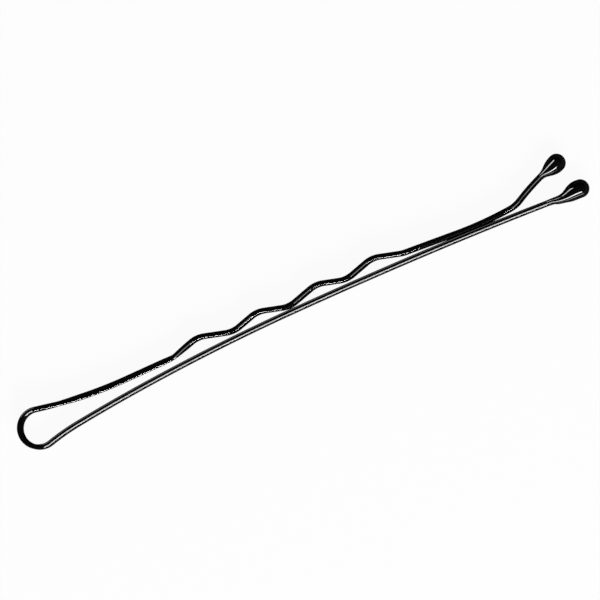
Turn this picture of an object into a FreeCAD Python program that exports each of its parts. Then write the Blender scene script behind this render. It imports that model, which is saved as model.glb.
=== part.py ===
import FreeCAD, Part
import math
import os
import Sketcher

# A bobby pin: one flat spring wire, rolled with round narrow edges and bent round on itself into a
# loop, with one straight leg and one crimped leg, and a drop of hard resin on each wire end.
#
# The pin lies on the narrow edges of its wire. The origin is the centre of the loop at half the
# wire's width, +X runs along the pin towards the tips, +Y is the way the crimped leg opens and +Z
# is up, across the wire's width.
#
# The wire is drawn as a bend schedule: arcs and straight feeds, each tangent to the one before it.
# The real wire is one piece that opens by flexing, mostly near the loop, so it is cut square across
# where each heel curve runs out, and each leg swings there about its outer face.

doc = FreeCAD.newDocument("BobbyPin")

SIZES = {
    # Flat wire
    "wire_width": 1.4,
    "wire_thickness": 0.43,
    # Loop at the closed end
    "loop_inner_radius": 1.35,
    "straight_splay_degrees": 14.5,
    "crimped_splay_degrees": 12.0,
    # Straight leg, bowed a little towards the crimped leg
    "straight_throat_radius": 20.0,
    "straight_throat_degrees": 7.9,
    "straight_heel_radius": 150.0,
    "straight_heel_degrees": 2.0,
    "straight_bow_radius": 185.0,
    "straight_bow_degrees": 4.6,
    "straight_grip_radius": 440.0,
    "straight_grip_degrees": 1.85,
    "straight_tip_radius": 340.0,
    # Crimped leg, from the loop to its lead-in
    "crimped_heel_radius": 38.0,
    "seat_length": 4.0,
    "wave_radius": 2.2,
    "wave_degrees": 16.0,
    "wave_flank": 1.55,
    "grip_feed": 4.5,
    "contact_radius": 32.0,
    "contact_degrees": 8.7,
    "kick_radius": 2.6,
    "kick_degrees": 23.8,
    "lead_in_radius": 20.0,
    "lead_in_degrees": 7.4,
    # Running room between the two legs where they all but touch
    "leg_gap": 0.03,
    # Resin beads
    "bead_radius": 0.78,
    "bead_wire_hold": 1.5,
    "resin_skin": 0.075,
    "straight_bead_taper": 2.6,
    "crimped_bead_taper": 1.75,
}

# The eight flanks of the four waves, as shares of the nominal flank: the crimping is not quite even.
WAVE_FLANK_SHARES = (1.065, 1.14, 0.84, 0.94, 1.04, 0.84, 0.97, 1.09)

# Of the bead's taper, how far along it the middle section lies, and how much of the swelling from
# the neck to the ball is done there, across the wire's thickness.
BEAD_WAIST_PLACE_SHARE = 0.45
BEAD_WAIST_SWELL_SHARE = 0.52

sheet = doc.addObject("Spreadsheet::Sheet", "Sizes")


def put_on_sheet(row, alias, size):
    """Writes one named size in a row of the sheet."""
    sheet.set(f"A{row}", alias)
    sheet.set(f"B{row}", str(size))
    sheet.setAlias(f"B{row}", alias)


for sheet_row, (size_name, size_value) in enumerate(SIZES.items(), start=1):
    put_on_sheet(sheet_row, size_name, size_value)
doc.recompute()


def value(expression):
    """The number that an expression on the sheet gives now."""
    result = sheet.evalExpression(expression)
    return float(getattr(result, "Value", result))


# Bend schedule

LEFT, RIGHT = 1, -1


def bend(radius, degrees, way):
    """An arc of the wire's centre line: its radius, its turn and the side it turns to."""
    return {"radius": radius, "degrees": degrees, "way": way}


def feed(length):
    """A straight stretch of the wire's centre line."""
    return {"length": length}


def station_after(station, step):
    """Where the centre line is, and which way it heads, at the end of one step of the schedule."""
    x, y, heading = station
    if "length" in step:
        length = value(step["length"])
        return (x + length * math.cos(heading), y + length * math.sin(heading), heading)
    turn = math.radians(value(step["degrees"])) * step["way"]
    chord = 2 * value(step["radius"]) * math.sin(abs(turn) / 2)
    middle = heading + turn / 2
    return (x + chord * math.cos(middle), y + chord * math.sin(middle), heading + turn)


def stations(start, steps):
    """The stations at the start and after each step."""
    places = [start]
    for step in steps:
        places.append(station_after(places[-1], step))
    return places


def centre_line(start, steps):
    """The centre line of a stretch of wire, in the part's own frame."""
    edges = []
    for step, station in zip(steps, stations(start, steps)):
        begin = FreeCAD.Vector(station[0], station[1], 0)
        end = FreeCAD.Vector(*station_after(station, step)[:2], 0)
        if "length" in step:
            edges.append(Part.LineSegment(begin, end).toShape())
            continue
        half_step = dict(step, degrees=f"({step['degrees']}) / 2")
        middle = FreeCAD.Vector(*station_after(station, half_step)[:2], 0)
        edges.append(Part.Arc(begin, middle, end).toShape())
    return Part.Wire(edges)


def backwards(steps):
    """The same steps, walked from the far end: left turns become right turns."""
    return [dict(step, way=-step["way"]) if "way" in step else step for step in reversed(steps)]


def placement_at(station):
    """Turns +X along the wire at a station."""
    x, y, heading = station
    turned = FreeCAD.Rotation(FreeCAD.Vector(0, 0, 1), math.degrees(heading))
    return FreeCAD.Placement(FreeCAD.Vector(x, y, 0), turned)


# Sketches and pipes of the wire

def sketch_on(body, plane, name):
    """A sketch on one of the body's own origin planes."""
    sketch = body.newObject("Sketcher::SketchObject", name)
    support = next(face for face in body.Origin.OriginFeatures if face.Role == plane)
    sketch.AttachmentSupport = (support, [""])
    sketch.MapMode = "FlatFace"
    return sketch


def bind(sketch, constraint, expression):
    """Adds a size to a sketch and ties it to the sheet."""
    index = sketch.addConstraint(constraint)
    sketch.setExpression(f"Constraints[{index}]", expression)


def draw_path(body, name, steps):
    """The centre line of one length of wire, from the body's origin along +X."""
    sketch = sketch_on(body, "XY_Plane", name)
    places = stations((0.0, 0.0, 0.0), steps)
    for step, (x, y, heading), (end_x, end_y, end_heading) in zip(steps, places, places[1:]):
        start, end = FreeCAD.Vector(x, y, 0), FreeCAD.Vector(end_x, end_y, 0)
        if "length" in step:
            line = sketch.addGeometry(Part.LineSegment(start, end))
            bind(sketch, Sketcher.Constraint("Distance", line, value(step["length"])), step["length"])
            continue
        radius = value(step["radius"])
        centre = start + FreeCAD.Vector(-math.sin(heading), math.cos(heading), 0) * radius * step["way"]
        circle = Part.Circle(centre, FreeCAD.Vector(0, 0, 1), radius)
        ends = [heading - math.pi / 2 * step["way"], end_heading - math.pi / 2 * step["way"]]
        low, high = ends if step["way"] == LEFT else reversed(ends)
        arc = sketch.addGeometry(Part.ArcOfCircle(circle, low, high))
        bind(sketch, Sketcher.Constraint("Radius", arc, radius), step["radius"])
    chain_tangent(sketch, steps)
    return sketch


def chain_tangent(sketch, steps):
    """Joins the path's steps end to end, each tangent to the last, from the sketch's origin."""
    first = start_point(steps[0])
    sketch.addConstraint(Sketcher.Constraint("Coincident", 0, first, -1, 1))
    for index in range(1, len(steps)):
        before, after = end_point(steps[index - 1]), start_point(steps[index])
        sketch.addConstraint(Sketcher.Constraint("Tangent", index - 1, before, index, after))


def start_point(step):
    """Which end of a step's geometry the path enters by: arcs always run anticlockwise."""
    return 2 if step.get("way") == RIGHT else 1


def end_point(step):
    """Which end of a step's geometry the path leaves by."""
    return 1 if step.get("way") == RIGHT else 2


def draw_wire_section(body, name):
    """The rolled wire's section across X: flat broad faces and fully round narrow edges."""
    sketch = sketch_on(body, "YZ_Plane", name)
    radius = value("Sizes.wire_thickness / 2")
    reach = value("(Sizes.wire_width - Sizes.wire_thickness) / 2")
    up = FreeCAD.Vector(0, 0, 1)
    top = sketch.addGeometry(
        Part.ArcOfCircle(Part.Circle(FreeCAD.Vector(0, reach, 0), up, radius), 0, math.pi))
    bottom = sketch.addGeometry(
        Part.ArcOfCircle(Part.Circle(FreeCAD.Vector(0, -reach, 0), up, radius), math.pi, 2 * math.pi))
    left = sketch.addGeometry(
        Part.LineSegment(FreeCAD.Vector(-radius, reach, 0), FreeCAD.Vector(-radius, -reach, 0)))
    right = sketch.addGeometry(
        Part.LineSegment(FreeCAD.Vector(radius, -reach, 0), FreeCAD.Vector(radius, reach, 0)))
    for one, one_end, other, other_end in ((top, 2, left, 1), (left, 2, bottom, 1),
                                           (bottom, 2, right, 1), (right, 2, top, 1)):
        sketch.addConstraint(Sketcher.Constraint("Tangent", one, one_end, other, other_end))
    sketch.addConstraint(Sketcher.Constraint("Symmetric", top, 3, bottom, 3, -1, 1))
    sketch.addConstraint(Sketcher.Constraint("PointOnObject", top, 3, -2))
    bind(sketch, Sketcher.Constraint("Radius", top, radius), "Sizes.wire_thickness / 2")
    bind(sketch, Sketcher.Constraint("Distance", top, 3, bottom, 3, 2 * reach),
         "Sizes.wire_width - Sizes.wire_thickness")
    return sketch


def make_wire_length(label, start, steps):
    """One length of the wire, swept along its steps from a station."""
    body = doc.addObject("PartDesign::Body", label)
    body.Label = label
    section = draw_wire_section(body, label + "_section")
    path = draw_path(body, label + "_path", steps)
    doc.recompute()
    pipe = body.newObject("PartDesign::AdditivePipe", label + "_pipe")
    pipe.Profile = section
    pipe.Spine = (path, [f"Edge{number}" for number in range(1, len(steps) + 1)])
    pipe.Refine = False
    body.Placement = placement_at(start)
    doc.recompute()
    return body


# Resin beads

def draw_ellipse_section(body, name, half_thickness, half_width, along):
    """An upright elliptic section across X, a given way along the bead."""
    sketch = sketch_on(body, "YZ_Plane", name)
    sketch.setExpression(".AttachmentOffset.Base.z", along)
    half_y, half_z = value(half_thickness), value(half_width)
    top, side = FreeCAD.Vector(0, half_z, 0), FreeCAD.Vector(half_y, 0, 0)
    ellipse = sketch.addGeometry(Part.Ellipse(top, side, FreeCAD.Vector(0, 0, 0)))
    sketch.exposeInternalGeometry(ellipse)
    sketch.addConstraint(Sketcher.Constraint("Coincident", ellipse, 3, -1, 1))
    long_axis, short_axis = ellipse + 1, ellipse + 2
    sketch.addConstraint(Sketcher.Constraint("Vertical", long_axis))
    bind(sketch, Sketcher.Constraint("Distance", long_axis, 2 * half_z), f"2 * ({half_width})")
    bind(sketch, Sketcher.Constraint("Distance", short_axis, 2 * half_y), f"2 * ({half_thickness})")
    return sketch


def draw_ball(body, name, taper):
    """Half the outline of the ball's round end, closed along the bead's axis."""
    sketch = sketch_on(body, "XY_Plane", name)
    centre_x, radius = value(taper), value("Sizes.bead_radius")
    centre = FreeCAD.Vector(centre_x, 0, 0)
    crown, nose = FreeCAD.Vector(centre_x, radius, 0), FreeCAD.Vector(centre_x + radius, 0, 0)
    arc = sketch.addGeometry(
        Part.ArcOfCircle(Part.Circle(centre, FreeCAD.Vector(0, 0, 1), radius), 0, math.pi / 2))
    wall = sketch.addGeometry(Part.LineSegment(crown, centre))
    axis = sketch.addGeometry(Part.LineSegment(centre, nose))
    sketch.addConstraint(Sketcher.Constraint("Coincident", arc, 2, wall, 1))
    sketch.addConstraint(Sketcher.Constraint("Coincident", wall, 2, axis, 1))
    sketch.addConstraint(Sketcher.Constraint("Coincident", axis, 2, arc, 1))
    sketch.addConstraint(Sketcher.Constraint("Coincident", arc, 3, axis, 1))
    sketch.addConstraint(Sketcher.Constraint("Vertical", wall))
    sketch.addConstraint(Sketcher.Constraint("Horizontal", axis))
    sketch.addConstraint(Sketcher.Constraint("PointOnObject", axis, 1, -1))
    bind(sketch, Sketcher.Constraint("Radius", arc, radius), "Sizes.bead_radius")
    bind(sketch, Sketcher.Constraint("DistanceX", -1, 1, axis, 1, centre_x), taper)
    return sketch


def make_bead(label, mouth, taper):
    """A resin drop round a wire end: flattened at its neck, round at its ball, and hollowed by the
    end of the wire, which its neck holds."""
    body = doc.addObject("PartDesign::Body", label)
    body.Label = label
    neck_y = "Sizes.wire_thickness / 2 + Sizes.resin_skin"
    waist_y = f"({neck_y}) + {BEAD_WAIST_SWELL_SHARE} * (Sizes.bead_radius - ({neck_y}))"
    neck = draw_ellipse_section(body, label + "_neck", neck_y, "Sizes.bead_radius", "0 mm")
    waist = draw_ellipse_section(body, label + "_waist", waist_y, "Sizes.bead_radius",
                                 f"{BEAD_WAIST_PLACE_SHARE} * {taper}")
    crown = draw_ellipse_section(body, label + "_crown", "Sizes.bead_radius", "Sizes.bead_radius", taper)
    doc.recompute()
    drop = body.newObject("PartDesign::AdditiveLoft", label + "_drop")
    drop.Profile = neck
    drop.Sections = [waist, crown]
    doc.recompute()
    ball_outline = draw_ball(body, label + "_ball_outline", taper)
    ball = body.newObject("PartDesign::Revolution", label + "_ball")
    ball.Profile = ball_outline
    ball.ReferenceAxis = (ball_outline, ["H_Axis"])
    ball.Angle = 360
    socket_outline = draw_wire_section(body, label + "_socket_outline")
    doc.recompute()
    solid_volume = ball.Shape.Volume
    socket = body.newObject("PartDesign::Pocket", label + "_socket")
    socket.Profile = socket_outline
    socket.Reversed = True
    socket.setExpression("Length", "Sizes.bead_wire_hold")
    body.Placement = placement_at(mouth)
    doc.recompute()
    if not socket.Shape.Volume < solid_volume:
        raise RuntimeError(label + ": the socket for the wire's end cuts nothing")
    return body


# Schedule of the loop and both legs

# The loop's centre line touches each leg where it heads at that leg's splay from +X.
LOOP_RADIUS = "Sizes.loop_inner_radius + Sizes.wire_thickness / 2"
LOOP_TURN = "180 + Sizes.straight_splay_degrees + Sizes.crimped_splay_degrees"


def leg_start(splay, side):
    """The station where a leg leaves the loop: side is LEFT for the crimped leg, on the +Y side."""
    angle = math.radians(value(splay))
    radius = value(LOOP_RADIUS)
    return (radius * math.sin(angle), side * radius * math.cos(angle), -side * angle)


straight_heel = [
    bend("Sizes.straight_throat_radius", "Sizes.straight_throat_degrees", RIGHT),
    bend("Sizes.straight_heel_radius", "Sizes.straight_heel_degrees", RIGHT),
]
straight_run = [
    bend("Sizes.straight_bow_radius", "Sizes.straight_bow_degrees", RIGHT),
    bend("Sizes.straight_grip_radius", "Sizes.straight_grip_degrees", RIGHT),
    bend("Sizes.straight_tip_radius", "Sizes.straight_tip_degrees", RIGHT),
]


def wave_flank(number):
    """The straight flank of a half wave, numbered from the loop."""
    return feed(f"{WAVE_FLANK_SHARES[number]} * Sizes.wave_flank")


def wave(number):
    """One wave between its troughs: up a flank, over the crest and down the other flank."""
    crest = bend("Sizes.wave_radius", "2 * Sizes.wave_degrees", RIGHT)
    return [wave_flank(2 * number), crest, wave_flank(2 * number + 1)]


half_trough = bend("Sizes.wave_radius", "Sizes.wave_degrees", LEFT)
trough = bend("Sizes.wave_radius", "2 * Sizes.wave_degrees", LEFT)
trough_to_grip = bend("Sizes.wave_radius", "Sizes.wave_degrees - Sizes.grip_slope_degrees", LEFT)

crimped_heel = [bend("Sizes.crimped_heel_radius", "Sizes.crimped_splay_degrees", LEFT)]
waves = wave(0)
for number in range(1, len(WAVE_FLANK_SHARES) // 2):
    waves += [trough, *wave(number)]
crimped_run = [
    feed("Sizes.seat_length"),
    half_trough, *waves, trough_to_grip,
    feed("Sizes.grip_feed"),
    bend("Sizes.contact_radius", "Sizes.contact_degrees", LEFT),
    bend("Sizes.kick_radius", "Sizes.kick_degrees", LEFT),
    bend("Sizes.lead_in_radius", "Sizes.lead_in_degrees", RIGHT),
]
wire_in_bead = [feed("Sizes.bead_wire_hold")]

straight_start = leg_start("Sizes.straight_splay_degrees", RIGHT)
crimped_start = leg_start("Sizes.crimped_splay_degrees", LEFT)


# The two legs are fitted to each other: the crimped leg's grip run slopes down until the legs are the
# leg gap apart, and the straight leg's last arc runs on until its bead starts level with the other.

GRIP_SLOPE_ROW = len(SIZES) + 1
TIP_TURN_ROW = GRIP_SLOPE_ROW + 1
SOLVER_HALVINGS = 30


def set_grip_slope(slope_degrees):
    """Sets the slope of the grip run, and the turn of the straight leg's last arc that goes with it."""
    put_on_sheet(GRIP_SLOPE_ROW, "grip_slope_degrees", slope_degrees)
    sheet.recompute()
    end_x = stations(crimped_start, crimped_heel + crimped_run)[-1][0]
    x, _, heading = stations(straight_start, straight_heel + straight_run[:-1])[-1]
    end_heading = math.asin(math.sin(heading) + (x - end_x) / value("Sizes.straight_tip_radius"))
    put_on_sheet(TIP_TURN_ROW, "straight_tip_degrees", math.degrees(heading - end_heading))
    sheet.recompute()


def legs_apart(slope_degrees):
    """The least gap between the two legs' facing sides when the grip run has this slope."""
    set_grip_slope(slope_degrees)
    straight = centre_line(straight_start, straight_heel + straight_run)
    crimped = centre_line(crimped_start, crimped_heel + crimped_run)
    return straight.distToShape(crimped)[0] - value("Sizes.wire_thickness")


least_slope, most_slope = 0.0, value("Sizes.wave_degrees")
for _ in range(SOLVER_HALVINGS):
    middle_slope = (least_slope + most_slope) / 2
    if legs_apart(middle_slope) > value("Sizes.leg_gap"):
        least_slope = middle_slope
    else:
        most_slope = middle_slope
print(f"legs {legs_apart(least_slope):.4f} mm apart at a grip slope of {least_slope:.4f} degrees, "
      f"straight leg's last turn {value('Sizes.straight_tip_degrees'):.4f} degrees")


# Loop, with the heel curve of each leg

straight_flex = stations(straight_start, straight_heel)[-1]
crimped_flex = stations(crimped_start, crimped_heel)[-1]
turned_back = (straight_flex[0], straight_flex[1], straight_flex[2] + math.pi)

spring_bend = make_wire_length(
    "spring_bend", turned_back,
    backwards(straight_heel) + [bend(LOOP_RADIUS, LOOP_TURN, RIGHT)] + crimped_heel)


# Straight leg and its bead

straight_mouth = stations(straight_flex, straight_run)[-1]
straight_leg = make_wire_length("straight_leg", straight_flex, straight_run + wire_in_bead)
straight_bead = make_bead("straight_leg_bead", straight_mouth, "Sizes.straight_bead_taper")


# Crimped leg and its bead

crimped_mouth = stations(crimped_flex, crimped_run)[-1]
crimped_leg = make_wire_length("crimped_leg", crimped_flex, crimped_run + wire_in_bead)
crimped_bead = make_bead("crimped_leg_bead", crimped_mouth, "Sizes.crimped_bead_taper")


# Checks and files

doc.recompute()
pieces = [spring_bend, straight_leg, straight_bead, crimped_leg, crimped_bead]
for thing in doc.Objects:
    if "Invalid" in thing.State or "Error" in thing.State:
        raise RuntimeError(f"{thing.Label}: {thing.State}")
for piece in pieces:
    if piece.Shape.isNull() or not piece.Shape.isValid() or len(piece.Shape.Solids) != 1:
        raise RuntimeError(f"{piece.Label}: not one valid solid")


def print_flex(name, station, side):
    """Where a leg flexes: the line along Z on the wire's outer face, which opens its inner side."""
    x, y, heading = station
    out = side * value("Sizes.wire_thickness / 2")
    x, y = x - out * math.sin(heading), y + out * math.cos(heading)
    print(f"{name} flexes at x {x:.5f} y {y:.5f} mm, heading {math.degrees(heading):.4f} degrees")


print_flex("straight_leg", straight_flex, RIGHT)
print_flex("crimped_leg", crimped_flex, LEFT)

os.makedirs("parts", exist_ok=True)
for piece in pieces:
    piece.Shape.exportStep(f"parts/{piece.Label}.step")
    box = piece.Shape.BoundBox
    print(f"{piece.Label}: {piece.Shape.Volume:.4f} mm3, x {box.XMin:.3f} to {box.XMax:.3f}, "
          f"y {box.YMin:.3f} to {box.YMax:.3f}, z {box.ZMin:.3f} to {box.ZMax:.3f}")
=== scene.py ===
import math

import bmesh
import bpy
from mathutils import Matrix, Vector


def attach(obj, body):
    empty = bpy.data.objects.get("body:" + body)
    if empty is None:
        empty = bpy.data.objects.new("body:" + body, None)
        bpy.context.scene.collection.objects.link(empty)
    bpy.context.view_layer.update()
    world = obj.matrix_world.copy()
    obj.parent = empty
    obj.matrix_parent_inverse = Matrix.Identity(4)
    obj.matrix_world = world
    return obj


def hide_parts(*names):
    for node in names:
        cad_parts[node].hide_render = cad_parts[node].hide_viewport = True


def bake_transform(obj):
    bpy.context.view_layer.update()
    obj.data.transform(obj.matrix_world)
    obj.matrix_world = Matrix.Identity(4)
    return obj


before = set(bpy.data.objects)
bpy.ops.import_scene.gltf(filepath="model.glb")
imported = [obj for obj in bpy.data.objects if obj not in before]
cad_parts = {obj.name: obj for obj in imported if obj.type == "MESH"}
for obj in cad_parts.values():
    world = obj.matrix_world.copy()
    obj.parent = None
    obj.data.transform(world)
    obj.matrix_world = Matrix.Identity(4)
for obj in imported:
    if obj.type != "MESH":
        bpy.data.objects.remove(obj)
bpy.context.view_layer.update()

# Camera
# The photograph looks down on the pin through a long lens, leaning a little towards the tips, with
# the pin's length running up to the right across the frame.

MM = 0.001                          # m
LENGTH_ABOVE_LEVEL = 24.045         # degrees that the pin's length climbs across the frame
LEAN_RIGHT, LEAN_DOWN = 0.135, 0.045          # of the way up, from straight above the pin
FRAME_CENTRE = (24.04, 0.688, 0)    # mm, the point of the pin's own frame at the picture's centre
FRAME_WIDTH = 49.32                 # mm across the picture there
CAMERA_DISTANCE = 1500              # mm
SENSOR_WIDTH = 36                   # mm
NEAREST_SEEN, FARTHEST_SEEN = 0.01, 20        # m

angle = math.radians(LENGTH_ABOVE_LEVEL)
picture_right = Vector((math.cos(angle), -math.sin(angle), 0))
picture_up = Vector((math.sin(angle), math.cos(angle), 0))
straight_up = Vector((0, 0, 1))
leaning = LEAN_RIGHT * picture_right - LEAN_DOWN * picture_up
towards_camera = (leaning + straight_up).normalized()

camera = bpy.data.objects.new("camera", bpy.data.cameras.new("camera"))
bpy.context.collection.objects.link(camera)
camera.data.sensor_width = SENSOR_WIDTH
camera.data.lens = SENSOR_WIDTH * CAMERA_DISTANCE / FRAME_WIDTH
camera.data.clip_start, camera.data.clip_end = NEAREST_SEEN, FARTHEST_SEEN
camera_up = (picture_up - picture_up.dot(towards_camera) * towards_camera).normalized()
camera_right = camera_up.cross(towards_camera)
camera_place = (Vector(FRAME_CENTRE) + CAMERA_DISTANCE * towards_camera) * MM
camera_turn = Matrix((camera_right, camera_up, towards_camera)).transposed().to_4x4()
camera.matrix_world = Matrix.Translation(camera_place) @ camera_turn
bpy.context.scene.camera = camera


# Loop
# The closed end of one flat spring wire, rolled from round wire and bent round a peg. The wire is
# dipped in black enamel before it is bent, so its coat runs on unbroken over every bend.

WIRE_WIDTH = 1.4                  # mm, upright as the pin lies on its narrow edges
WIRE_THICKNESS = 0.43             # mm
EDGE_RADIUS_SHARE = 0.49          # of the thickness: just short of half, so that no corners meet
EDGE_STEPS = 12                   # faces round each corner of the wire's section
LOOP_RADIUS = 1.565               # mm, to the middle of the wire's thickness
STRAIGHT_SPLAY, CRIMPED_SPLAY = 14.5, 12.0   # degrees that each leg leaves the loop at

LEFT, RIGHT = 1, -1


def add_node(tree, kind, settings=None, inputs=None):
    """Adds a node with its settings, and a value or another node's output for each input."""
    node = tree.nodes.new(kind)
    for name, setting in (settings or {}).items():
        setattr(node, name, setting)
    for name, source in (inputs or {}).items():
        if isinstance(source, bpy.types.NodeSocket):
            tree.links.new(source, node.inputs[name])
        else:
            node.inputs[name].default_value = source
    return node


def linear(hex_colour):
    """The linear colour of an sRGB hex value."""
    shares = [int(hex_colour[place:place + 2], 16) / 255 for place in (1, 3, 5)]
    return (*[s / 12.92 if s <= 0.04045 else ((s + 0.055) / 1.055) ** 2.4 for s in shares], 1)


# Black stoving enamel on steel wire: a hard, even, glossy coat. It is drawn through with the wire's
# faint lengthwise die lines, and it has the slight orange peel of a dipped coat.
ENAMEL_COLOUR = "#070708"
ENAMEL_IOR = 1.56
ENAMEL_ROUGHNESS = (0.04, 0.09)   # at its glossiest and at its dullest
PEEL_GRAIN, PEEL_HEIGHT = 0.30, 0.0005        # mm
DIE_LINE_PITCH, DIE_LINE_LENGTH = 0.09, 9.0   # mm, coarser than the real ones so that they show
DIE_LINE_HEIGHT = 0.0004                      # mm
DULLED_FROM, DULLED_TO = 0.3, 0.7             # of the die lines' noise

enamel = bpy.data.materials.new("black enamel on spring wire")
enamel.use_nodes = True
nodes = enamel.node_tree
nodes.nodes.clear()
along = add_node(nodes, "ShaderNodeAttribute", {"attribute_name": "along"})
section = add_node(nodes, "ShaderNodeAttribute", {"attribute_name": "section"})
section_parts = add_node(nodes, "ShaderNodeSeparateXYZ", None, {0: section.outputs["Vector"]})
unrolled = add_node(nodes, "ShaderNodeCombineXYZ", None, {
    0: section_parts.outputs[0], 1: section_parts.outputs[1], 2: along.outputs["Fac"]})
peel = add_node(nodes, "ShaderNodeTexNoise", None, {
    "Vector": unrolled.outputs[0], "Scale": 1 / (PEEL_GRAIN * MM), "Detail": 2.0,
    "Roughness": 0.45})
stretched = add_node(nodes, "ShaderNodeMapping", None, {
    "Vector": unrolled.outputs[0], "Scale": (1, 1, DIE_LINE_PITCH / DIE_LINE_LENGTH)})
die_lines = add_node(nodes, "ShaderNodeTexNoise", None, {
    "Vector": stretched.outputs[0], "Scale": 1 / (DIE_LINE_PITCH * MM), "Detail": 3.0,
    "Roughness": 0.6})
dulling = add_node(nodes, "ShaderNodeMapRange", None, {
    "Value": die_lines.outputs["Fac"], "From Min": DULLED_FROM, "From Max": DULLED_TO,
    "To Min": ENAMEL_ROUGHNESS[0], "To Max": ENAMEL_ROUGHNESS[1]})
lined = add_node(nodes, "ShaderNodeBump", None, {
    "Strength": 1.0, "Distance": DIE_LINE_HEIGHT * MM, "Height": die_lines.outputs["Fac"]})
peeled = add_node(nodes, "ShaderNodeBump", None, {
    "Strength": 1.0, "Distance": PEEL_HEIGHT * MM, "Height": peel.outputs["Fac"],
    "Normal": lined.outputs[0]})
coat = add_node(nodes, "ShaderNodeBsdfPrincipled", None, {
    "Base Color": linear(ENAMEL_COLOUR), "IOR": ENAMEL_IOR, "Roughness": dulling.outputs[0],
    "Normal": peeled.outputs[0]})
add_node(nodes, "ShaderNodeOutputMaterial", None, {"Surface": coat.outputs[0]})

# The wire itself, drawn along a path of points: a flat strip with round narrow edges, stood on
# edge. Its twist comes and goes smoothly between four places along it.
flat_wire = bpy.data.node_groups.new("Flat wire along its bends", "GeometryNodeTree")
for socket_name, socket_type in (
        ("Centre line", "NodeSocketGeometry"), ("Width", "NodeSocketFloat"),
        ("Thickness", "NodeSocketFloat"), ("Edge radius", "NodeSocketFloat"),
        ("Edge steps", "NodeSocketInt"), ("Coat", "NodeSocketMaterial"),
        ("Twist", "NodeSocketFloat"), ("Straight up to", "NodeSocketFloat"),
        ("Twisted from", "NodeSocketFloat"), ("Twisted to", "NodeSocketFloat"),
        ("Straight by", "NodeSocketFloat")):
    flat_wire.interface.new_socket(socket_name, in_out="INPUT", socket_type=socket_type)
flat_wire.interface.new_socket("Wire", in_out="OUTPUT", socket_type="NodeSocketGeometry")
given = add_node(flat_wire, "NodeGroupInput").outputs
centre_line = add_node(flat_wire, "GeometryNodeMeshToCurve", None, {"Mesh": given["Centre line"]})
place = add_node(flat_wire, "GeometryNodeSplineParameter")
measured = add_node(flat_wire, "GeometryNodeStoreNamedAttribute", {"data_type": "FLOAT"}, {
    "Geometry": centre_line.outputs[0], "Name": "along", "Value": place.outputs["Length"]})
on_edge = add_node(flat_wire, "GeometryNodeSetCurveNormal", {"mode": "Z_UP"}, {
    "Curve": measured.outputs[0]})
coming = add_node(flat_wire, "ShaderNodeMapRange", {"interpolation_type": "SMOOTHSTEP"}, {
    "Value": place.outputs["Length"], "From Min": given["Straight up to"],
    "From Max": given["Twisted from"]})
going = add_node(flat_wire, "ShaderNodeMapRange", {"interpolation_type": "SMOOTHSTEP"}, {
    "Value": place.outputs["Length"], "From Min": given["Twisted to"],
    "From Max": given["Straight by"], "To Min": 1.0, "To Max": 0.0})
lasting = add_node(flat_wire, "ShaderNodeMath", {"operation": "MULTIPLY"}, {
    0: coming.outputs[0], 1: going.outputs[0]})
twist = add_node(flat_wire, "ShaderNodeMath", {"operation": "MULTIPLY"}, {
    0: lasting.outputs[0], 1: given["Twist"]})
twisted = add_node(flat_wire, "GeometryNodeSetCurveTilt", None, {
    "Curve": on_edge.outputs[0], "Tilt": twist.outputs[0]})
strip = add_node(flat_wire, "GeometryNodeCurvePrimitiveQuadrilateral", None, {
    "Width": given["Thickness"], "Height": given["Width"]})
rolled = add_node(flat_wire, "GeometryNodeFilletCurve", {"mode": "POLY"}, {
    "Curve": strip.outputs[0], "Count": given["Edge steps"], "Radius": given["Edge radius"]})
own_place = add_node(flat_wire, "GeometryNodeInputPosition")
rolled_measured = add_node(
    flat_wire, "GeometryNodeStoreNamedAttribute", {"data_type": "FLOAT_VECTOR"}, {
        "Geometry": rolled.outputs[0], "Name": "section", "Value": own_place.outputs[0]})
swept = add_node(flat_wire, "GeometryNodeCurveToMesh", None, {
    "Curve": twisted.outputs[0], "Profile Curve": rolled_measured.outputs[0], "Fill Caps": True})
real = add_node(flat_wire, "GeometryNodeRealizeInstances", None, {0: swept.outputs[0]})
coated = add_node(flat_wire, "GeometryNodeSetMaterial", None, {
    "Geometry": real.outputs[0], "Material": given["Coat"]})
add_node(flat_wire, "NodeGroupOutput", None, {0: coated.outputs[0]})

LONGEST_STEP = 0.25               # mm between points of the path
LARGEST_TURN = 1.5                # degrees between them round a bend
TWIST_PLACES = {"Straight up to": 0.5, "Twisted from": 4.0, "Twisted to": 11.0,
                "Straight by": 14.0}          # mm along a length of wire
SHARP_ANGLE = 60                  # degrees between faces that meet in a hard edge


def bend_wire(start, steps):
    """The wire's centre line as places in mm with headings, from where it starts and heads. A step
    is a straight feed's length, or a bend's radius, degrees and side."""
    x, y, heading = start
    stations = [start]
    for step in steps:
        radius, degrees, side = step if isinstance(step, tuple) else (step, 0, 0)
        length = radius * math.radians(degrees) if degrees else radius
        pieces = math.ceil(max(length / LONGEST_STEP, degrees / LARGEST_TURN))
        turn = side * math.radians(degrees) / pieces
        chord = 2 * radius * math.sin(abs(turn) / 2) if degrees else length / pieces
        for _ in range(pieces):
            x += chord * math.cos(heading + turn / 2)
            y += chord * math.sin(heading + turn / 2)
            heading += turn
            stations.append((x, y, heading))
    return stations


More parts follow.
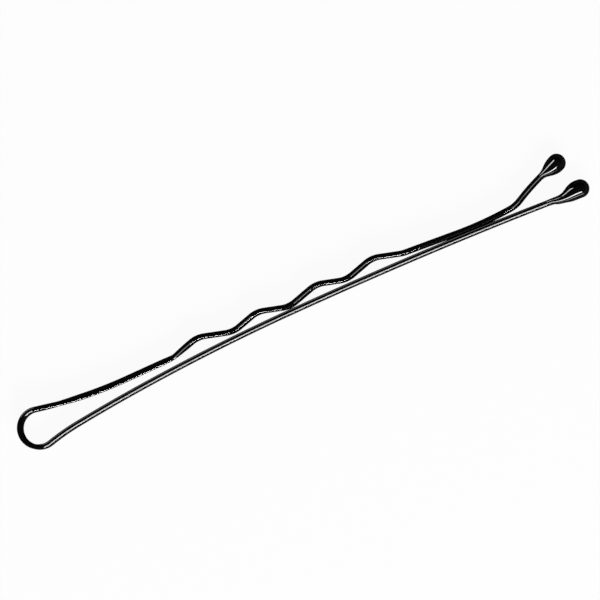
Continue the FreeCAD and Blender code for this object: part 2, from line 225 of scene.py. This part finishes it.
def make_wire(name, start, steps, twist=0):
    """One length of the enamelled wire, as a plain mesh, twisted by so many degrees at most."""
    points = [(x * MM, y * MM, 0) for x, y, _ in bend_wire(start, steps)]
    path = bpy.data.meshes.new(name)
    path.from_pydata(points, [(number, number + 1) for number in range(len(points) - 1)], [])
    wire = bpy.data.objects.new(name, path)
    bpy.context.collection.objects.link(wire)
    drawing = wire.modifiers.new("flat wire", "NODES")
    drawing.node_group = flat_wire
    sizes = {"Width": WIRE_WIDTH * MM, "Thickness": WIRE_THICKNESS * MM,
             "Edge radius": EDGE_RADIUS_SHARE * WIRE_THICKNESS * MM, "Edge steps": EDGE_STEPS,
             "Coat": enamel, "Twist": math.radians(twist)}
    sizes.update({socket_name: place * MM for socket_name, place in TWIST_PLACES.items()})
    for socket in flat_wire.interface.items_tree:
        if socket.name in sizes:
            drawing[socket.identifier] = sizes[socket.name]
    wire.data = bpy.data.meshes.new_from_object(
        wire.evaluated_get(bpy.context.evaluated_depsgraph_get()))
    wire.modifiers.remove(drawing)
    point_outwards(wire.data)
    return wire


def point_outwards(mesh):
    """Turns every face outwards and shades it smooth, apart from hard edges."""
    shell = bmesh.new()
    shell.from_mesh(mesh)
    bmesh.ops.recalc_face_normals(shell, faces=shell.faces)
    shell.to_mesh(mesh)
    shell.free()
    mesh.shade_smooth()
    mesh.set_sharp_from_angle(angle=math.radians(SHARP_ANGLE))


def leaving_loop(splay, side):
    """Where a leg leaves the loop and which way it heads: LEFT is the crimped leg's side."""
    turned = math.radians(splay)
    return (LOOP_RADIUS * math.sin(turned), side * LOOP_RADIUS * math.cos(turned), -side * turned)


straight_start = leaving_loop(STRAIGHT_SPLAY, RIGHT)
crimped_start = leaving_loop(CRIMPED_SPLAY, LEFT)
loop = make_wire("wire_loop", (straight_start[0], straight_start[1], straight_start[2] + math.pi),
                 [(LOOP_RADIUS, 180 + STRAIGHT_SPLAY + CRIMPED_SPLAY, RIGHT)])
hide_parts("spring_bend")
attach(loop, "spring_bend")


# Straight leg
# The same wire runs on from the loop in one long shallow bow that presses up against the crimped
# leg.

STRAIGHT_BENDS = (                # each one's radius in mm and degrees
    (20.0, 7.9), (150.0, 2.0),                       # throat and heel
    (185.0, 4.6), (440.0, 1.85), (340.0, 1.5078),    # bow, grip run and tip
)
WIRE_IN_BEAD = 1.5                # mm

straight_steps = [(radius, degrees, RIGHT) for radius, degrees in STRAIGHT_BENDS]
straight_leg = make_wire("wire_straight_leg", straight_start, [*straight_steps, WIRE_IN_BEAD])
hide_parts("straight_leg")
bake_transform(straight_leg)


# Crimped leg
# The wire's other end, crimped between wave rollers into four uneven waves, laid down along the
# straight leg in a short grip run and kicked up at the end as a lead-in for the hair.

CRIMPED_HEEL_RADIUS = 38.0        # mm
ORNAMENT_SEAT = 4.0               # mm of straight wire before the first wave
WAVE_RADIUS, WAVE_DEGREES, WAVE_FLANK = 2.2, 16.0, 1.55      # mm and degrees
WAVE_FLANK_SHARES = (1.065, 1.14, 0.84, 0.94, 1.04, 0.84, 0.97, 1.09)
GRIP_SLOPE = 4.3078               # degrees down towards the other leg
GRIP_FEED = 4.5                   # mm of straight wire before the legs touch
CONTACT_BEND, KICK_BEND, LEAD_IN_BEND = (32.0, 8.7), (2.6, 23.8), (20.0, 7.4)    # mm and degrees
CRIMPED_TWIST = 11.0              # degrees, from its heel's middle to near the first crest

waves = []
for number, share in enumerate(WAVE_FLANK_SHARES):
    over_crest = number % 2 == 0
    waves += [share * WAVE_FLANK, (WAVE_RADIUS, 2 * WAVE_DEGREES, RIGHT if over_crest else LEFT)]
waves[-1] = (WAVE_RADIUS, WAVE_DEGREES - GRIP_SLOPE, LEFT)
crimped_steps = [
    (CRIMPED_HEEL_RADIUS, CRIMPED_SPLAY, LEFT), ORNAMENT_SEAT,
    (WAVE_RADIUS, WAVE_DEGREES, LEFT), *waves,
    GRIP_FEED, (*CONTACT_BEND, LEFT), (*KICK_BEND, LEFT), (*LEAD_IN_BEND, RIGHT),
]
crimped_leg = make_wire("wire_crimped_leg", crimped_start, [*crimped_steps, WIRE_IN_BEAD],
                        twist=CRIMPED_TWIST)
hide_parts("crimped_leg")
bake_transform(crimped_leg)


# Straight leg's bead
# The wire's end is dipped in hard black resin, which draws up into a ball and runs back along the
# wire in a thin feathered skin. It hung towards the other leg while it set, so it bulges that way.

BALL_RADIUS = 0.765               # mm
BALL_HALF_WIDTH = 0.78            # mm, across the wire's width
STRAIGHT_BEAD_TAPER = 2.6         # mm from its mouth to its ball's centre
RING_POINTS = 72
ROWS_PER_SECTION = 6
ROWS_OVER_NOSE = 16

# Epoxy-like casting resin, self-levelled: the glossiest thing on the pin, with a few slow ripples.
RESIN_COLOUR = "#09090a"
RESIN_IOR = 1.54
RESIN_ROUGHNESS = (0.03, 0.07)
RIPPLE_SPACING, RIPPLE_HEIGHT = 0.9, 0.006    # mm
HAZE_GRAIN = 0.35                             # mm
HAZY_FROM, HAZY_TO = 0.35, 0.65               # of the haze's noise

resin = bpy.data.materials.new("black casting resin")
resin.use_nodes = True
nodes = resin.node_tree
nodes.nodes.clear()
resin_place = add_node(nodes, "ShaderNodeTexCoord")
ripple = add_node(nodes, "ShaderNodeTexNoise", None, {
    "Vector": resin_place.outputs["Object"], "Scale": 1 / (RIPPLE_SPACING * MM), "Detail": 1.0})
haze = add_node(nodes, "ShaderNodeTexNoise", None, {
    "Vector": resin_place.outputs["Object"], "Scale": 1 / (HAZE_GRAIN * MM), "Detail": 2.0})
hazing = add_node(nodes, "ShaderNodeMapRange", None, {
    "Value": haze.outputs["Fac"], "From Min": HAZY_FROM, "From Max": HAZY_TO,
    "To Min": RESIN_ROUGHNESS[0], "To Max": RESIN_ROUGHNESS[1]})
rippled = add_node(nodes, "ShaderNodeBump", None, {
    "Strength": 1.0, "Distance": RIPPLE_HEIGHT * MM, "Height": ripple.outputs["Fac"]})
drop = add_node(nodes, "ShaderNodeBsdfPrincipled", None, {
    "Base Color": linear(RESIN_COLOUR), "IOR": RESIN_IOR, "Roughness": hazing.outputs[0],
    "Normal": rippled.outputs[0]})
add_node(nodes, "ShaderNodeOutputMaterial", None, {"Surface": drop.outputs[0]})


def smooth_between(sections, place):
    """A drop's section at a place along it, on a smooth curve through the given sections."""
    last = len(sections) - 2
    number = next((n for n in range(last) if place < sections[n + 1][0]), last)
    before, start, end, after = (sections[min(max(n, 0), last + 1)]
                                 for n in range(number - 1, number + 3))
    t = (place - start[0]) / (end[0] - start[0])
    found = []
    for a, b, c, d in list(zip(before, start, end, after))[1:]:
        rise_in = (c - a) * (end[0] - start[0]) / (end[0] - before[0])
        rise_out = (d - b) * (end[0] - start[0]) / (after[0] - start[0])
        found.append((2 * t ** 3 - 3 * t ** 2 + 1) * b + (t ** 3 - 2 * t ** 2 + t) * rise_in
                     + (3 * t ** 2 - 2 * t ** 3) * c + (t ** 3 - t ** 2) * rise_out)
    return found


def make_bead(name, mouth, taper, inner_side, sections):
    """A drop round a wire that enters it at its mouth, with its ball's centre a taper beyond. Each
    section holds its place from that centre, its reach towards the other leg, its reach away from
    it and half its width, in mm."""
    rows = []
    for start, end in zip(sections, sections[1:]):
        for step in range(ROWS_PER_SECTION):
            place = start[0] + (end[0] - start[0]) * step / ROWS_PER_SECTION
            rows.append((place, *smooth_between(sections, place)))
    ball = sections[-1]
    sideways = (ball[1] - ball[2]) / 2
    for step in range(ROWS_OVER_NOSE):
        turned = math.pi / 2 * step / ROWS_OVER_NOSE
        rows.append((BALL_RADIUS * math.sin(turned), sideways + BALL_RADIUS * math.cos(turned),
                     BALL_RADIUS * math.cos(turned) - sideways, BALL_HALF_WIDTH * math.cos(turned)))
    shell = bmesh.new()
    rings = []
    for place, inner, outer, half_width in rows:
        radius = (inner + outer) / 2
        flat = max(half_width - radius, 0)
        ring = []
        for point in range(RING_POINTS):
            turned = 2 * math.pi * (point + 0.5) / RING_POINTS
            rise = radius * math.sin(turned)
            ring.append(shell.verts.new((
                place, inner_side * ((inner - outer) / 2 + radius * math.cos(turned)),
                rise + math.copysign(flat, rise))))
        rings.append(ring)
    for ring, following in zip(rings, rings[1:]):
        for point in range(RING_POINTS):
            after = (point + 1) % RING_POINTS
            shell.faces.new((ring[point], ring[after], following[after], following[point]))
    shell.faces.new(rings[0])
    nose = shell.verts.new((BALL_RADIUS, inner_side * sideways, 0))
    for point in range(RING_POINTS):
        shell.faces.new((rings[-1][point], rings[-1][(point + 1) % RING_POINTS], nose))
    mesh = bpy.data.meshes.new(name)
    shell.to_mesh(mesh)
    shell.free()
    x, y, heading = mouth
    centre = (x + taper * math.cos(heading), y + taper * math.sin(heading), 0)
    mesh.transform(Matrix.Translation(centre) @ Matrix.Rotation(heading, 4, "Z"))
    mesh.transform(Matrix.Scale(MM, 4))
    point_outwards(mesh)
    mesh.materials.append(resin)
    bead = bpy.data.objects.new(name, mesh)
    bpy.context.collection.objects.link(bead)
    return bead


straight_mouth = bend_wire(straight_start, straight_steps)[-1]
straight_bead = make_bead("resin_bead_straight_leg", straight_mouth, STRAIGHT_BEAD_TAPER, LEFT, (
    (-2.95, 0.205, 0.205, 0.69), (-2.90, 0.217, 0.217, 0.703), (-2.48, 0.23, 0.25, 0.73),
    (-2.23, 0.235, 0.34, 0.75), (-1.98, 0.24, 0.40, 0.77), (-1.74, 0.27, 0.44, 0.78),
    (-1.49, 0.35, 0.48, 0.78), (-1.24, 0.51, 0.54, 0.78), (-0.99, 0.69, 0.58, 0.78),
    (-0.74, 0.82, 0.60, 0.78), (-0.50, 0.90, 0.605, 0.78), (-0.25, 0.93, 0.60, 0.78),
    (0.0, 0.93, 0.60, 0.78)))
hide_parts("straight_leg_bead")
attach(straight_bead, "straight_leg")


# Crimped leg's bead
# The same resin on the wire's other end, dipped less deep, so the drop is shorter and rounder. It
# too bulges towards the other leg.

CRIMPED_BEAD_TAPER = 1.75         # mm from its mouth to its ball's centre

crimped_mouth = bend_wire(crimped_start, crimped_steps)[-1]
crimped_bead = make_bead("resin_bead_crimped_leg", crimped_mouth, CRIMPED_BEAD_TAPER, RIGHT, (
    (-1.80, 0.205, 0.205, 0.69), (-1.75, 0.217, 0.217, 0.703), (-1.49, 0.28, 0.23, 0.75),
    (-1.24, 0.42, 0.29, 0.78), (-0.99, 0.59, 0.40, 0.78), (-0.74, 0.73, 0.51, 0.78),
    (-0.50, 0.83, 0.58, 0.78), (-0.25, 0.885, 0.62, 0.78), (0.0, 0.895, 0.635, 0.78)))
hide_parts("crimped_leg_bead")
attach(crimped_bead, "crimped_leg")


# Floor
# A sheet of matt white board that the pin lies on, resting on its beads. The camera sees it lit
# from behind, so it is white and the pin's shadow on it stays faint. The pin's gloss sees it nearly
# black instead: painted shade in its reflections, so the wire's sides mirror no white board.

FLOOR_SIZE = 400                  # mm
BOARD_COLOUR = "#f7f7f7"
BACKLIT_AND_PAINTED_DARK_SHARE = 0.95              # of the board, white to the camera and painted black to the gloss; the rest is lit from above, like any board

board = bpy.data.materials.new("matt white board")
board.use_nodes = True
nodes = board.node_tree
nodes.nodes.clear()
paper = add_node(nodes, "ShaderNodeBsdfDiffuse", None, {"Color": linear(BOARD_COLOUR)})
seen = add_node(nodes, "ShaderNodeLightPath")
mirrored = add_node(nodes, "ShaderNodeMath", {"operation": "MAXIMUM"}, {
    0: seen.outputs["Is Glossy Ray"], 1: seen.outputs["Is Transmission Ray"]})
looked_at = add_node(nodes, "ShaderNodeMath", {"operation": "MAXIMUM"}, {
    0: mirrored.outputs[0], 1: seen.outputs["Is Camera Ray"]})
share = add_node(nodes, "ShaderNodeMath", {"operation": "MULTIPLY"}, {
    0: looked_at.outputs[0], 1: BACKLIT_AND_PAINTED_DARK_SHARE})
# White to the camera, black to gloss: painted shade in the pin's reflections of the board.
white_to_camera_black_in_gloss = add_node(nodes, "ShaderNodeEmission", None, {"Strength": seen.outputs["Is Camera Ray"]})
lit = add_node(nodes, "ShaderNodeMixShader", None, {
    0: share.outputs[0], 1: paper.outputs[0], 2: white_to_camera_black_in_gloss.outputs[0]})
add_node(nodes, "ShaderNodeOutputMaterial", None, {"Surface": lit.outputs[0]})

reach = FLOOR_SIZE / 2 * MM
level = -BALL_HALF_WIDTH * MM
floor_mesh = bpy.data.meshes.new("floor")
floor_mesh.from_pydata([(-reach, -reach, level), (reach, -reach, level), (reach, reach, level),
                        (-reach, reach, level)], [], [(0, 1, 2, 3)])
floor_mesh.transform(Matrix.Translation((FRAME_CENTRE[0] * MM, FRAME_CENTRE[1] * MM, 0)))
floor_mesh.materials.append(board)
floor = bpy.data.objects.new("floor", floor_mesh)
bpy.context.collection.objects.link(floor)


# Light
# A dark studio round a white board. Narrow soft boxes low on the picture's lower right and small
# cards on its upper left draw the thin white lines along the wire and the streaks in the beads.
# Flags keep each one to the pieces whose line it draws.

AMBIENT = 0.08                    # from all round, on what is matt
HORIZON_GLOW, CEILING_GLOW = 0.25, 0.012      # as the gloss mirrors them
HORIZON_HEIGHT = 0.12             # share of the way up to overhead that the horizon's glow takes
LAMP_DISTANCE = 0.45              # m from the pin

world = bpy.data.worlds.new("studio")
bpy.context.scene.world = world
world.use_nodes = True
nodes = world.node_tree
nodes.nodes.clear()
seen = add_node(nodes, "ShaderNodeLightPath")
direction = add_node(nodes, "ShaderNodeTexCoord")
height = add_node(nodes, "ShaderNodeSeparateXYZ", None, {0: direction.outputs["Generated"]})
ceiling = add_node(nodes, "ShaderNodeMapRange", {"interpolation_type": "SMOOTHSTEP"}, {
    "Value": height.outputs[2], "From Max": HORIZON_HEIGHT, "To Min": HORIZON_GLOW,
    "To Max": CEILING_GLOW})
mirrored = add_node(nodes, "ShaderNodeMath", {"operation": "MAXIMUM"}, {
    0: seen.outputs["Is Glossy Ray"], 1: seen.outputs["Is Transmission Ray"]})
unseen = add_node(nodes, "ShaderNodeMix", {"data_type": "FLOAT"}, {
    0: mirrored.outputs[0], 2: AMBIENT, 3: ceiling.outputs[0]})
strength = add_node(nodes, "ShaderNodeMix", {"data_type": "FLOAT"}, {
    0: seen.outputs["Is Camera Ray"], 2: unseen.outputs[0], 3: 1.0})
studio = add_node(nodes, "ShaderNodeBackground", None, {
    "Color": (1, 1, 1, 1), "Strength": strength.outputs[0]})
add_node(nodes, "ShaderNodeOutputWorld", None, {"Surface": studio.outputs[0]})


def hang_soft_box(name, azimuth, elevation, wide, tall, radiance, mirrored_by=None):
    """A soft box at an azimuth from the picture's right and an elevation above the picture's plane,
    both in degrees, as wide and tall as it looks from the pin, in degrees. Flags keep it off every
    gloss but that of the pieces named; with none named it lights only what is matt."""
    turned, raised = math.radians(azimuth), math.radians(elevation)
    level = math.cos(turned) * camera_right + math.sin(turned) * camera_up
    outwards = math.cos(raised) * level + math.sin(raised) * towards_camera
    lamp = bpy.data.lights.new(name, "AREA")
    lamp.shape = "RECTANGLE"
    lamp.size = 2 * LAMP_DISTANCE * math.tan(math.radians(wide / 2))
    lamp.size_y = 2 * LAMP_DISTANCE * math.tan(math.radians(tall / 2))
    lamp.energy = radiance * math.pi * lamp.size * lamp.size_y
    box = bpy.data.objects.new(name, lamp)
    bpy.context.collection.objects.link(box)
    place = Matrix.Translation(Vector(FRAME_CENTRE) * MM + outwards * LAMP_DISTANCE)
    box.matrix_world = place @ outwards.to_track_quat("Z", "Y").to_matrix().to_4x4()
    box.visible_camera = False
    box.visible_diffuse = mirrored_by is None
    box.visible_glossy = mirrored_by is not None
    if mirrored_by:
        box.light_linking.receiver_collection = bpy.data.collections.new(name)
        for piece in mirrored_by:
            box.light_linking.receiver_collection.objects.link(piece)


beads = (straight_bead, crimped_bead)
# Each one's name, azimuth, elevation, width, height and radiance, and the pieces that mirror it.
hang_soft_box("low strip", -76, 11.5, 40, 2, 190.0, (crimped_leg,))
hang_soft_box("low strip behind a scrim", -68, 9.5, 34, 5, 50.0, (loop, straight_leg))
hang_soft_box("low strip behind two scrims", -68, 9.5, 34, 5, 10.0, beads)
hang_soft_box("middle strip", -72, 38, 26, 24, 17.0, (loop, straight_leg))
hang_soft_box("middle strip for the straight leg's bead", -84, 42, 40, 12, 26.0, (straight_bead,))
hang_soft_box("middle strip for the crimped leg's bead", -70, 50, 24, 11, 26.0, (crimped_bead,))
hang_soft_box("fill card", -52, 45, 16, 30, 5.0, (crimped_leg,))
hang_soft_box("small card", 145, 44, 26, 12, 15.0, beads)
hang_soft_box("upper left card", 135, 12, 36, 22, 3.0, (loop, straight_leg))
hang_soft_box("key on the board", -68, 35, 44, 30, 11.0)

bpy.context.scene.view_settings.view_transform = "Standard"
